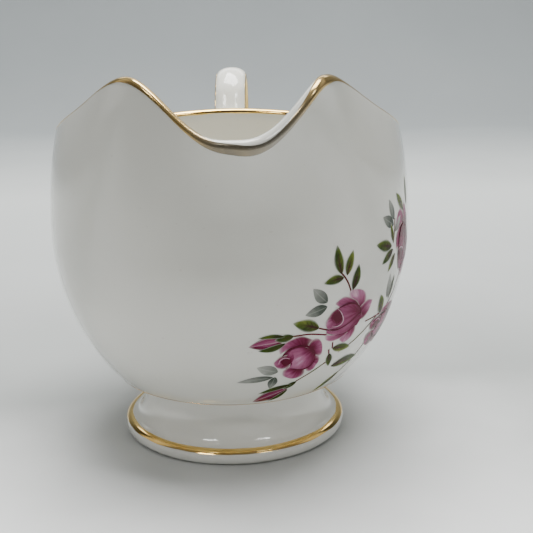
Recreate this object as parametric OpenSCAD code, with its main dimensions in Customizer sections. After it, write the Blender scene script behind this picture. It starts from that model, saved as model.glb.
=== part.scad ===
// Porcelain cream jug: a globular body with a wavy, eared rim and pouring lip,
// a flared pedestal foot, a strap handle, gilding and a climbing-rose transfer.
// The origin is the centre of the foot's standing ring. The lip points to -Y, the handle to +Y.

/* [Body] */
// Diameter of the belly at its widest
belly_d = 85; // [80:1:95]
// Height of the widest point above the table
belly_z = 52; // [50:1:54]
// Height of the belly's lower edge, where it turns in to the foot
edge_z = 16.2; // [15:0.2:18]
// Thickness of the wall at the belly
wall = 2.4; // [2:0.1:3]
// Height of the inner floor at the centre
floor_z = 18; // [17:0.5:20]

/* [Rim and spout] */
// Thickness of the rounded lip
lip_t = 2; // [1.6:0.1:2.4]
// Height of the rim at the sides and back
side_z = 73; // [72:0.5:75]
// Height of the two ears beside the pouring lip
ear_z = 88.9; // [85:0.2:90]
// Height of the middle of the pouring lip
lip_z = 77.3; // [75:0.2:79]
// Azimuth of each ear, from the front
ear_a = 27; // [24:1:30]
// How far the spout leans out at the height of the ears
spout_lean = 8.3; // [6:0.1:10]
// How far the lowest point of the lip sits off centre, in degrees
lip_skew = 1.4; // [0:0.2:3]
// How much further the middle of the lip rolls out
lip_roll = 4.2; // [2:0.1:5]

/* [Foot] */
// Radius of the foot's top, under the belly
neck_r = 21.6; // [20:0.2:23]
// Outer radius of the foot's flange
flange_r = 27.4; // [26:0.2:29]
// Radius of the rounded shoulder of the flange
shoulder_r = 1.8; // [1.4:0.1:2]
// Thickness of the foot's wall
foot_wall = 2.9; // [2.4:0.1:3.2]

/* [Handle] */
// Width of the strap
strap_w = 8.6; // [7.4:0.2:10]
// Thickness of the strap
strap_t = 5; // [4:0.2:5.4]
// How far the handle's plane is turned to one side, in degrees
strap_yaw = 2.8; // [-5:0.2:5]
// Extra width where the strap meets the body
root_flare = 3.4; // [2:0.2:4]

/* [Decoration] */
// How far the gold runs down the outside below the lip
rim_gold = 0.2; // [0.1:0.1:0.6]
// Width of the gold line along each side of the strap
line_gold = 2.4; // [1:0.1:3]
// Thickness of the gold and of the printed enamel
film = 0.1; // [0.08:0.01:0.15]

/* [Hidden] */

porcelain = "whitesmoke";
gold = "goldenrod";
pink = "palevioletred";
crimson = "mediumvioletred";
leaf_green = "olivedrab";
leaf_grey = "darkgray";
stem_brown = "saddlebrown";

belly_r = belly_d / 2;
belly_drop = 49.3;          // vertical half axis of the belly's lower ellipse
belly_rise = 65.6;          // vertical half axis of the belly's upper ellipse
edge_round = 2.2;           // radius of the belly's lower edge
under_slope = 12;           // slope of the underside between the edge and the foot
floor_power = 2.6;          // squareness of the inner floor's curve
ear_reach = 97;             // azimuth where the rim has come down from the ear to the side
ear_soft = 0.07;            // rounding of the ear's tip
lean_z = 52;                // height where the spout begins to lean out
lean_power = 1.6;
roll_z = 60;                // height where the lip begins to roll out
roll_width = 16;            // azimuth half width of the roll
roll_a = 8;                 // azimuth where the roll is strongest
lip_flat = 2;               // half width of the level bottom of the U, in degrees
lip_swell = 0.85;           // how much the lip's radius grows beside the middle
swell_a = 16;
swell_width = 13;
back_rise = 1.1;            // how much the rim rises again above the handle
back_width = 30;
worn_a = 8;                 // azimuth where pouring has worn the gold off the inside of the lip
worn_width = 16;
film_gap = 0.03;            // glaze left between the body and a film

around = 120;               // facets around the body
low_steps = 7;
high_steps = 11;
edge_steps = 4;
lip_steps = 6;
wall_steps = 8;
floor_steps = 9;

// A point at an azimuth from the front, a radius and a height
function at(a, r, z) = [r * sin(a), -r * cos(a), z];
function mix(a, b, u) = a + (b - a) * u;

// Radius of the plain round belly at a height
function round_r(z) =
    belly_r * sqrt(1 - pow((z - belly_z) / (z < belly_z ? belly_drop : belly_rise), 2));

// A hump of height 1 at zero that fades over a width
function hump(x, width) = exp(-pow(x / width, 2));

// Height of the rim at an azimuth: a U between the ears, a long fall to the sides, a rise at the back
function lip_share(t, power) =
    (1 - cos(180 * pow(min(1, max(0, t - lip_flat) / (ear_a - lip_flat)), power))) / 2;
function soft(u) = (sqrt(u * u + ear_soft * ear_soft) - ear_soft)
    / (sqrt(1 + ear_soft * ear_soft) - ear_soft);
function fall_share(t) = pow(1 - soft((t - ear_a) / (ear_reach - ear_a)), 1.35);
function off_centre(a) = abs(a - lip_skew * max(0, 1 - pow(a / ear_a, 2)));
function rim_z(a) = let (t = off_centre(a))
    t >= ear_a ? (
        t < ear_reach ? mix(side_z, ear_z, fall_share(t))
        : side_z + back_rise * hump(180 - t, back_width))
    : a < 0 ? mix(lip_z, ear_z, lip_share(t, 1.05))
    : mix(lip_z, ear_z, lip_share(1.06 * t, 1.25));

// Outward push of the spout at an azimuth and a height
function lean_share(t) = t < 18 ? 1 : t > 62 ? 0 : (1 + cos(180 * (t - 18) / 44)) / 2;
function lean(a, z) = z <= lean_z ? 0
    : spout_lean * lean_share(abs(a)) * pow((z - lean_z) / (ear_z - lean_z), lean_power);
function roll(a, z) = z <= roll_z ? 0
    : lip_roll * hump(a - roll_a, roll_width) * pow((z - roll_z) / (lip_z - roll_z), 2);
function outer_r(a, z) = round_r(z) + lean(a, z) + roll(a, z);

// The lip: its radius, the slope of the wall below it, and the height where its round begins
function lip_r(a) = lip_t / 2 + lip_swell * hump(a - swell_a, swell_width);
function slope(a) = let (z = rim_z(a) - lip_t / 2) atan(outer_r(a, z + 0.5) - outer_r(a, z - 0.5));
function lip_top(a) = rim_z(a) - lip_r(a) * (1 + sin(slope(a)));
// A point of the lip's round: t goes from its outside, over the top, to its inside
function lip_pt(a, t, off = 0) = let (r = lip_r(a), s = slope(a), top = lip_top(a))
    [outer_r(a, top) - r * cos(s), top + r * sin(s)] + (r + off) * [cos(t - s), sin(t - s)];

// Section of the body at an azimuth, as [radius, height] points from the seat to the floor
edge_r = round_r(edge_z);
edge_a = atan2(1, pow(belly_r / belly_drop, 2) * (belly_z - edge_z) / edge_r);
edge_c = [edge_r - edge_round * sin(edge_a), edge_z + edge_round * cos(edge_a)];
function edge_pt(t) = edge_c + edge_round * [sin(t), -cos(t)];
seat_z = edge_pt(under_slope)[1] - (edge_pt(under_slope)[0] - neck_r) * tan(under_slope);

function seat_part() = [[neck_r * 0.5, seat_z], [neck_r, seat_z]];
function edge_part() = [for (k = [0:edge_steps]) edge_pt(mix(under_slope, edge_a, k / edge_steps))];
function low_part() =
    [for (k = [1:low_steps]) let (z = mix(edge_z, belly_z, k / low_steps)) [round_r(z), z]];
function high_part(a) = let (top = lip_top(a))
    [for (k = [1:high_steps]) let (z = mix(belly_z, top, k / high_steps)) [outer_r(a, z), z]];
function lip_part(a) = [for (k = [1:lip_steps]) lip_pt(a, 180 * k / lip_steps)];
function wall_part(a) = let (start = lip_pt(a, 180))
    [for (k = [1:wall_steps]) let (u = k / wall_steps, z = mix(start[1], belly_z, u),
        thick = mix(outer_r(a, start[1]) - start[0], wall, u)) [outer_r(a, z) - thick, z]];
function floor_part() = [for (k = [1:floor_steps - 1]) let (t = 90 * k / floor_steps)
    [(belly_r - wall) * pow(cos(t), 2 / floor_power),
     belly_z - (belly_z - floor_z) * pow(sin(t), 2 / floor_power)]];
function section(a) = concat(
    seat_part(), edge_part(), low_part(), high_part(a), lip_part(a), wall_part(a), floor_part());

// Middle of a ring, half way between two opposite points
function middle(ring) = let (n = len(ring)) (ring[floor(n / 4)] + ring[floor(3 * n / 4)]) / 2;

// Turns a list of equal rings of points into one closed skin, with a fan over each end
module skin(rings) {
    n = len(rings[0]);
    m = len(rings);
    points = concat([for (ring = rings) each ring], [middle(rings[0]), middle(rings[m-1])]);
    sides = [for (j = [0:m-2], i = [0:n-1], half = [0:1]) let (k = (i + 1) % n)
        half == 0 ? [j*n + i, j*n + k, (j+1)*n + k] : [j*n + i, (j+1)*n + k, (j+1)*n + i]];
    ends = [for (i = [0:n-1], last = [0:1]) let (k = (i + 1) % n)
        last == 0 ? [m*n, k, i] : [m*n + 1, (m-1)*n + i, (m-1)*n + k]];
    polyhedron(points, concat(sides, ends));
}

// The same for rings that close on themselves, such as a band around the rim
module loop_skin(rings) {
    n = len(rings[0]);
    m = len(rings);
    faces = [for (j = [0:m-1], i = [0:n-1], half = [0:1]) let (k = (i + 1) % n, q = (j + 1) % m)
        half == 0 ? [j*n + i, j*n + k, q*n + k] : [j*n + i, q*n + k, q*n + i]];
    polyhedron([for (ring = rings) each ring], faces);
}

// Azimuth of each facet, counted both ways from the front
function turn(i) = let (a = 360 * i / around) a > 180 ? a - 360 : a;
function level(sections, k) =
    [for (i = [0:around-1]) let (p = sections[i][k]) at(turn(i), p[0], p[1])];

module body() {
    sections = [for (i = [0:around-1]) section(turn(i))];
    color(porcelain) skin([for (k = [0:len(sections[0])-1]) level(sections, k)]);
}

// The foot: a hollow ring with a cove outside, a rounded shoulder and a rounded standing edge
shoulder_c = [flange_r - shoulder_r, shoulder_r];
stand_r = 1.5;              // rounding of the standing edge
cove_end = shoulder_c[0] - 0.3;
function cove(r_end, z_end, t) =
    [neck_r + (r_end - neck_r) * (1 - cos(t)), seat_z - (seat_z - z_end) * sin(t)];
function arc(c, r, from, to, steps) =
    [for (k = [0:steps]) let (t = mix(from, to, k / steps)) c + r * [cos(t), sin(t)]];

module foot() {
    outside = [for (t = [0:7.5:90]) cove(cove_end, 2 * shoulder_r, t)];
    shoulder = arc(shoulder_c, shoulder_r, 90, 0, 8);
    standing = arc([flange_r - stand_r, stand_r], stand_r, 0, -90, 6);
    inside = [for (t = [90:-7.5:0]) cove(cove_end, shoulder_r, t) - [foot_wall, 0]];
    color(porcelain)
        rotate_extrude($fn = 180)
            polygon(concat(outside, shoulder, standing, [[cove_end - foot_wall, 0]], inside));
}

// A band of film over an arc of the section, turned around the axis
module ring_film(c, r, from, to, steps) {
    rotate_extrude($fn = 180)
        polygon(concat(
            arc(c, r + film_gap, from, to, steps),
            arc(c, r + film_gap + film, to, from, steps)));
}

module foot_gilding() {
    color(gold) ring_film(shoulder_c, shoulder_r, 90, 34, 8);
}

module neck_gilding() {
    color(gold) ring_film(edge_c, edge_round, under_slope - 88, under_slope - 64, 4);
}

// Film over the lip. A turn of 0 is where the lip's round begins, and below 0 is down the wall.
// The film is wide on the pouring lip, worn away inside it, and a thin line elsewhere.
thin_turn = 30;             // turn where the thin line begins
gold_steps = 8;
function over_lip(a, t, off) = t >= 0 ? lip_pt(a, t, off)
    : let (z = lip_top(a) + lip_r(a) * t * PI / 180) [outer_r(a, z) + off, z];
function ease(u) = (1 - cos(180 * min(1, max(0, u)))) / 2;
function gold_start(a) = thin_turn * ease((abs(a) - 24) / 12)
    - (rim_gold + 0.9 * hump(a - 4, 9)) / lip_r(a) * 180 / PI;
function gold_end(a) = 172 - 128 * exp(-pow((a - worn_a) / worn_width, 4));
function rim_section(a, off) =
    [for (k = [0:gold_steps]) over_lip(a, mix(gold_start(a), gold_end(a), k / gold_steps), off)];
function rim_band(a) = let (hi = rim_section(a, film_gap + film), lo = rim_section(a, film_gap))
    concat(hi, [for (k = [len(lo)-1:-1:0]) lo[k]]);

module rim_gilding() {
    color(gold)
        loop_skin([for (i = [0:around-1]) [for (p = rim_band(turn(i))) at(turn(i), p[0], p[1])]]);
}

// The strap's centre line in the YZ plane, from under the back rim, over the top and down to the belly
strap_route = [
    [round_r(66), 66], [47, 71.5], [50.5, 78.4], [56.5, 81.6], [62.5, 77.8],
    [65.5, 67], [63, 54], [56, 43.5], [48, 37.5], [round_r(34), 34]
];
strap_steps = 5;            // rings between two points of the route
strap_sides = 20;
flare_share = 0.6;          // share of the flare that goes into the strap's thickness
root_reach = 9;             // how far the flare runs along the strap
yaw_y = 53;                 // Y of the upright line about which the handle is turned

// A point of a smooth curve through a list of points, at a whole number plus a fraction
function along(pts, s) = let (n = len(pts) - 1, i = min(floor(s), n - 1), u = s - i,
    b = pts[i], c = pts[i + 1],
    a = i > 0 ? pts[i - 1] : b * 2 - c,
    d = i < n - 1 ? pts[i + 2] : c * 2 - b)
    0.5 * (2 * b + (c - a) * u + (2 * a - 5 * b + 4 * c - d) * u * u
        + (3 * b - a - 3 * c + d) * pow(u, 3));
function unit(v) = v / norm(v);
strap_end = len(strap_route) - 1;
function strap_c(s) = along(strap_route, s);
function strap_dir(s) = unit(strap_c(min(strap_end, s + 0.05)) - strap_c(max(0, s - 0.05)));
function root_share(s) = let (c = strap_c(s),
    d = min(norm(c - strap_route[0]), norm(c - strap_route[strap_end])))
    pow(max(0, 1 - d / root_reach), 2);

// A point of the strap's surface: t runs around its section, off lifts it
function strap_pt(s, t, off = 0) = let (c = strap_c(s), d = strap_dir(s), f = root_flare * root_share(s),
    w = ((strap_w + f) / 2 + off) * cos(t),
    h = ((strap_t + f * flare_share) / 2 + off) * sin(t),
    y = c[0] - d[1] * h)
    [w + (y - yaw_y) * tan(strap_yaw), y, c[1] + d[0] * h];
// The same point moved along Y onto the body's surface, for the strap's two ends
function seated(p) = [p[0], sqrt(pow(round_r(p[2]), 2) - p[0] * p[0]) + film_gap, p[2]];
function strap_ring(s) = [for (k = [0:strap_sides-1]) let (p = strap_pt(s, -360 * k / strap_sides))
    s == 0 || s == strap_end ? seated(p) : p];

module handle() {
    color(porcelain)
        skin([for (k = [0:strap_end*strap_steps]) strap_ring(k / strap_steps)]);
}

// A gold line along one edge of the strap
line_turn = asin(line_gold / strap_t);
function line_ring(s, mid) = concat(
    [for (t = [-1:1]) strap_pt(s, mid - line_turn * t, film_gap + film)],
    [for (t = [1:-1:-1]) strap_pt(s, mid - line_turn * t, film_gap)]);
module handle_gilding(mid) {
    color(gold)
        skin([for (k = [3:strap_end*strap_steps-3]) line_ring(k / strap_steps, mid)]);
}
line_back = 10;             // how far the lines lie towards the outside of the loop, in degrees
module handle_gilding_left() { handle_gilding(180 + line_back); }
module handle_gilding_right() { handle_gilding(-line_back); }

// The printed spray. A place on the body is [azimuth, height], and an element lies on the glaze
// between its base and its tip. Widths are in millimetres.
function on_body(p, lift) = at(p[0], outer_r(p[0], p[1]) + lift, p[1]);
function mm_per_degree(z) = round_r(z) * PI / 180;
function moved(p, x, z) = [p[0] + x / mm_per_degree(p[1]), p[1] + z];
function across(p, q) = let (x = (q[0] - p[0]) * mm_per_degree((p[1] + q[1]) / 2), z = q[1] - p[1])
    [-z, x] / norm([x, z]);
function patch_ring(p, side, w, n) = concat(
    [for (k = [n:-1:-n]) on_body(moved(p, side[0] * w * k / n, side[1] * w * k / n), film_gap + film)],
    [for (k = [-n:n]) on_body(moved(p, side[0] * w * k / n, side[1] * w * k / n), film_gap)]);

leaf_steps = 6;
tip_w = 0.12;               // half width left at a tip, so that it stays solid
function leaf_half(u, width) = tip_w + (width / 2 - tip_w) * pow(sin(180 * pow(u, 0.85)), 0.9);
module leaf(base, tip, width) {
    side = across(base, tip);
    skin([for (k = [0:leaf_steps]) let (u = k / leaf_steps)
        patch_ring(mix(base, tip, u), side, leaf_half(u, width), 1)]);
}

stem_w = 0.25;              // half width of a stem
stem_steps = 3;
module stem(route) {
    n = (len(route) - 1) * stem_steps;
    skin([for (k = [0:n]) let (s = k / stem_steps, p = along(route, s),
        q = along(route, min(s + 0.1, len(route) - 1)), o = along(route, max(s - 0.1, 0)))
        patch_ring(p, across(o, q), stem_w, 1)]);
}

petals = 5;
rose_sides = 25;
module rose(centre, radius) {
    function edge(t, u, lift) = let (r = radius * u * (1 + 0.09 * u * cos(petals * t)))
        on_body(moved(centre, r * cos(t), r * sin(t)), lift);
    function circle_at(u, lift) = [for (k = [0:rose_sides-1]) edge(-360 * k / rose_sides, u, lift)];
    top = film_gap + film;
    skin([circle_at(0.12, top), circle_at(0.55, top), circle_at(1, top),
        circle_at(1, film_gap), circle_at(0.55, film_gap), circle_at(0.12, film_gap)]);
}

module rose_lower() { color(pink) rose([23, 28.7], 5.6); }
module rose_middle() { color(pink) rose([40, 36.7], 6.2); }
module rose_upper() { color(pink) rose([68.5, 50.5], 6.4); }
module rose_side() { color(pink) rose([66, 30], 5.8); }
module bud_low() { color(crimson) leaf([22.2, 20.2], [8.8, 16.7], 3.6); }
module bud_high() { color(pink) leaf([16.5, 34.1], [5.8, 33], 3.4); }

// Each leaf is [base, tip, width]
green_leaves = [
    [[33.9, 47.4], [32, 53.9], 2.25], [[35.9, 46.9], [38, 52.2], 2.07],
    [[34.8, 46.5], [27.9, 46], 1.98], [[38.8, 43.2], [40.5, 48.8], 2.25],
    [[28, 35.7], [18.9, 37.9], 2.79], [[35.6, 29.5], [44.6, 28.4], 2.07],
    [[34.9, 28.2], [37.4, 24.3], 1.62], [[39, 24], [53.6, 24.2], 2.52], [[47.4, 21], [38, 16.4], 1.62],
    [[58.2, 34.2], [54.4, 39.4], 2.52], [[61.5, 37], [62.4, 42.6], 1.62],
    [[71.8, 57.6], [71.6, 64.2], 1.62], [[67.2, 57], [61.2, 61.6], 2.07],
    [[57.2, 50.2], [48.2, 51.8], 2.52], [[58.2, 49.4], [51.8, 46.9], 2.07],
    [[60, 48.2], [56.2, 44.4], 1.8], [[58.4, 51], [56.4, 55.4], 1.35]
];
grey_leaves = [
    [[29.6, 41.6], [24.5, 45.2], 2.34], [[29.8, 40.6], [22.6, 39.4], 2.34],
    [[16.2, 25.6], [8.6, 27.4], 2.43], [[14.8, 24.2], [2, 23.4], 1.53],
    [[15.6, 24.2], [14.4, 20.8], 1.98], [[60.2, 37.6], [58.6, 43.6], 1.98],
    [[58.8, 56], [55.8, 60.8], 1.98], [[58.4, 54.8], [51.8, 57.4], 2.34],
    [[59.6, 53.2], [64, 56.2], 1.62]
];
module leaves_green() { color(leaf_green) for (l = green_leaves) leaf(l[0], l[1], l[2]); }
module leaves_grey() { color(leaf_grey) for (l = grey_leaves) leaf(l[0], l[1], l[2]); }

// Each stem is a route over the body
stem_routes = [
    [[35.4, 46.4], [36.9, 44.8], [38.2, 43]],
    [[19.8, 34.7], [25, 34.6], [31, 33.7]],
    [[25, 22], [30, 23.8], [36.4, 26.3]],
    [[39.4, 27.8], [45, 29.4], [52, 32.4], [57, 34.6]],
    [[48.8, 36.6], [52, 35.6], [55, 35]],
    [[60.5, 34.8], [64.6, 38.6], [67.2, 43.8]],
    [[58.8, 51.4], [59.2, 53], [59.4, 56.2]]
];
module stems() { color(stem_brown) for (route = stem_routes) stem(route); }

body();
foot();
handle();
rim_gilding();
neck_gilding();
foot_gilding();
handle_gilding_left();
handle_gilding_right();
rose_lower();
rose_middle();
rose_upper();
rose_side();
bud_low();
bud_high();
leaves_green();
leaves_grey();
stems();
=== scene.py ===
"""A porcelain cream jug with an eared rim, gilding and a printed spray of roses.

Lengths are in millimetres, as in the CAD source, and become metres where a mesh is made.
A place on the body is (azimuth from the front in degrees, height).
"""

import math

import bpy
from mathutils import Matrix, Vector, noise

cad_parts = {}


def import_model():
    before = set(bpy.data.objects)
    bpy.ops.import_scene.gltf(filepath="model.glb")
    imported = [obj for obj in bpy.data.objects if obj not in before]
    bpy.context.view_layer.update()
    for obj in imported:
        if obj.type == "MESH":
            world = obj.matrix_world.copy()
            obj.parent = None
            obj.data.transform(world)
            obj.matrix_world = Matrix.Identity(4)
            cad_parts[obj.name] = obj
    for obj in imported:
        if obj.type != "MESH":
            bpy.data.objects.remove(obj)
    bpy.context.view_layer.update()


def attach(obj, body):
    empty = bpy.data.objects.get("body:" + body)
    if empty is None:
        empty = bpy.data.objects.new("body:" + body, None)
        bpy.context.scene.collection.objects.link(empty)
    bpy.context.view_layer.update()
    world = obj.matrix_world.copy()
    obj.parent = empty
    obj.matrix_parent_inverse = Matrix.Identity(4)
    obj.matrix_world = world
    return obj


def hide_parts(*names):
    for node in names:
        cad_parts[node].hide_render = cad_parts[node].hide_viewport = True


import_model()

MM = 0.001

# ---------------------------------------------------------------- sizes, as in the CAD source

BELLY_R = 42.5
BELLY_Z = 52.0
BELLY_DROP = 49.3
BELLY_RISE = 65.6
EDGE_Z = 16.2
EDGE_ROUND = 2.2
UNDER_SLOPE = 12.0
WALL = 2.4
FLOOR_Z = 18.0
FLOOR_POWER = 2.6
LIP_T = 2.0
LIP_SKEW = 1.4
LIP_FLAT = 2.0
LIP_SWELL = 0.85
SWELL_A = 16.0
SWELL_WIDTH = 13.0
SIDE_Z = 73.0
BACK_RISE = 1.1
BACK_WIDTH = 30.0
EAR_Z = 88.9
LIP_Z = 77.3
EAR_A = 27.0
EAR_REACH = 97.0
EAR_SOFT = 0.07
EAR_FALL = 1.35
LEFT_BEND = (1.0, 1.05)         # stretch and power of the lip's U to the left of its middle
RIGHT_BEND = (1.06, 1.25)       # and to the right
SPOUT_FULL = 18.0               # azimuth up to which the front leans fully
SPOUT_END = 62.0                # azimuth where the lean has gone
SPOUT_LEAN = 8.3
LEAN_Z = 52.0
LEAN_POWER = 1.6
LIP_ROLL = 4.2
ROLL_Z = 60.0
ROLL_WIDTH = 16.0
ROLL_A = 8.0
WORN_A = 8.0
WORN_WIDTH = 16.0
NECK_R = 21.6
FLANGE_R = 27.4
SHOULDER_R = 1.8
STAND_R = 1.5
FOOT_WALL = 2.9
STRAP_W = 8.6
STRAP_T = 5.0
STRAP_YAW = 2.8
YAW_Y = 53.0
ROOT_FLARE = 3.4
ROOT_REACH = 9.0
FLARE_SHARE = 0.6
RIM_GOLD = 0.2
THIN_TURN = 30.0
LINE_GOLD = 2.4
LINE_BACK = 10.0


def tint(r, g, b):
    """A colour given in display values, as linear light."""
    return tuple(((c / 255 + 0.055) / 1.055) ** 2.4 for c in (r, g, b))


def sin(degrees):
    return math.sin(math.radians(degrees))


def cos(degrees):
    return math.cos(math.radians(degrees))


def mix(a, b, u):
    return a + (b - a) * u


def smooth(a, b, x):
    u = min(1.0, max(0.0, (x - a) / (b - a)))
    return u * u * (3 - 2 * u)


def at(azimuth, radius, height):
    return Vector((radius * sin(azimuth), -radius * cos(azimuth), height))


# ---------------------------------------------------------------- the body's surface


def round_r(z):
    """Radius of the plain round belly at a height."""
    half = BELLY_DROP if z < BELLY_Z else BELLY_RISE
    return BELLY_R * math.sqrt(max(0.0, 1 - ((z - BELLY_Z) / half) ** 2))


def hump(x, width):
    """A smooth hill of height 1 around 0."""
    return math.exp(-((x / width) ** 2))


def rim_z(a):
    """Height of the rim: a U between the ears, a long fall to the sides, a rise at the back."""
    t = abs(a - LIP_SKEW * max(0.0, 1 - (a / EAR_A) ** 2))
    if t < EAR_A:
        stretch, power = LEFT_BEND if a < 0 else RIGHT_BEND
        u = min(1.0, max(0.0, t * stretch - LIP_FLAT) / (EAR_A - LIP_FLAT))
        return mix(LIP_Z, EAR_Z, (1 - cos(180 * u ** power)) / 2)
    if t < EAR_REACH:
        u = (t - EAR_A) / (EAR_REACH - EAR_A)
        soft = (math.hypot(u, EAR_SOFT) - EAR_SOFT) / (math.hypot(1, EAR_SOFT) - EAR_SOFT)
        return mix(SIDE_Z, EAR_Z, (1 - soft) ** EAR_FALL)
    return SIDE_Z + BACK_RISE * hump(180 - t, BACK_WIDTH)


def outer_r(a, z):
    """Outside radius of the body, with the spout's lean and the lip's roll."""
    aside = min(1.0, max(0.0, (abs(a) - SPOUT_FULL) / (SPOUT_END - SPOUT_FULL)))
    lean = SPOUT_LEAN * max(0.0, (z - LEAN_Z) / (EAR_Z - LEAN_Z)) ** LEAN_POWER
    roll = LIP_ROLL * max(0.0, (z - ROLL_Z) / (LIP_Z - ROLL_Z)) ** 2
    return round_r(z) + lean * (1 + cos(180 * aside)) / 2 + roll * hump(a - ROLL_A, ROLL_WIDTH)


def lip_r(a):
    return LIP_T / 2 + LIP_SWELL * hump(a - SWELL_A, SWELL_WIDTH)


def slope(a):
    z = rim_z(a) - LIP_T / 2
    return math.degrees(math.atan(outer_r(a, z + 0.5) - outer_r(a, z - 0.5)))


def lip_top(a):
    """Height where the lip's round begins."""
    return rim_z(a) - lip_r(a) * (1 + sin(slope(a)))


def lip_points(a, turns, off=0.0):
    """Points of the lip's round, by turns from its outside over the top to its inside."""
    r, s, top = lip_r(a), slope(a), lip_top(a)
    c = (outer_r(a, top) - r * cos(s), top + r * sin(s))
    return [(c[0] + (r + off) * cos(t - s), c[1] + (r + off) * sin(t - s)) for t in turns]


EDGE_R = round_r(EDGE_Z)
EDGE_A = math.degrees(math.atan2(1, (BELLY_R / BELLY_DROP) ** 2 * (BELLY_Z - EDGE_Z) / EDGE_R))
EDGE_C = (EDGE_R - EDGE_ROUND * sin(EDGE_A), EDGE_Z + EDGE_ROUND * cos(EDGE_A))


def edge_point(t, off=0.0):
    """A point of the rounded lower edge, t degrees up from its lowest."""
    return (EDGE_C[0] + (EDGE_ROUND + off) * sin(t), EDGE_C[1] - (EDGE_ROUND + off) * cos(t))


UNDER = edge_point(UNDER_SLOPE)
SEAT_Z = UNDER[1] - (UNDER[0] - NECK_R) * math.tan(math.radians(UNDER_SLOPE))


EDGE_STEPS = 8
LOW_STEPS = 26
HIGH_STEPS = 30
LIP_STEPS = 10
WALL_STEPS = 20
FLOOR_STEPS = 24


def body_section(a):
    """The body's section at an azimuth, as (radius, height) from the seat over the lip to the floor."""
    top = lip_top(a)
    points = [(NECK_R * 0.5, SEAT_Z), (NECK_R, SEAT_Z)]
    points += [edge_point(mix(UNDER_SLOPE, EDGE_A, k / EDGE_STEPS)) for k in range(EDGE_STEPS + 1)]
    low = [mix(EDGE_Z, BELLY_Z, k / LOW_STEPS) for k in range(1, LOW_STEPS + 1)]
    points += [(round_r(z), z) for z in low]
    high = [mix(BELLY_Z, top, k / HIGH_STEPS) for k in range(1, HIGH_STEPS + 1)]
    points += [(outer_r(a, z), z) for z in high]
    points += lip_points(a, [180 * k / LIP_STEPS for k in range(1, LIP_STEPS + 1)])
    r, start = points[-1]
    for k in range(1, WALL_STEPS + 1):
        z = mix(start, BELLY_Z, k / WALL_STEPS)
        points.append((outer_r(a, z) - mix(outer_r(a, start) - r, WALL, k / WALL_STEPS), z))
    for k in range(1, FLOOR_STEPS):
        t = 90 * k / FLOOR_STEPS
        r = (BELLY_R - WALL) * cos(t) ** (2 / FLOOR_POWER)
        points.append((r, BELLY_Z - (BELLY_Z - FLOOR_Z) * sin(t) ** (2 / FLOOR_POWER)))
    return points


# ---------------------------------------------------------------- meshes

SHARP = 50


def make(name, points, faces, material, node, values=None):
    """Makes a smooth piece from points in millimetres; it rides the root and replaces its node."""
    mesh = bpy.data.meshes.new(name)
    mesh.from_pydata([Vector(p) * MM for p in points], [], faces)
    mesh.polygons.foreach_set("use_smooth", [True] * len(mesh.polygons))
    for key, numbers in (values or {}).items():
        attribute = mesh.attributes.new(key, "FLOAT", "POINT")
        attribute.data.foreach_set("value", numbers)
    mesh.materials.append(material)
    mesh.update()
    mesh.set_sharp_from_angle(angle=math.radians(SHARP))
    piece = bpy.data.objects.new(name, mesh)
    bpy.context.scene.collection.objects.link(piece)
    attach(piece, "root")
    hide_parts(node)
    return piece


def ring_faces(rings, sides, loop=False):
    """Quads between equal rings of points, and a fan to a last point at each end."""
    faces = []
    for j in range(rings if loop else rings - 1):
        q = (j + 1) % rings
        for i in range(sides):
            k = (i + 1) % sides
            faces.append((j * sides + i, j * sides + k, q * sides + k, q * sides + i))
    if not loop:
        last = (rings - 1) * sides
        for i in range(sides):
            k = (i + 1) % sides
            faces.append((rings * sides, k, i))
            faces.append((rings * sides + 1, last + i, last + k))
    return faces


def centre_of(ring):
    """Half way between two opposite points of a ring."""
    n = len(ring)
    return (Vector(ring[n // 4]) + Vector(ring[3 * n // 4])) / 2


def skin(name, rings, material, node, loop=False, values=None):
    """Makes a piece from rings of points that are closed by their ends, or joined in a loop."""
    points = [p for ring in rings for p in ring]
    if not loop:
        points += [centre_of(rings[0]), centre_of(rings[-1])]
    faces = ring_faces(len(rings), len(rings[0]), loop)
    return make(name, points, faces, material, node, values)


# ---------------------------------------------------------------- shader helpers


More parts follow.
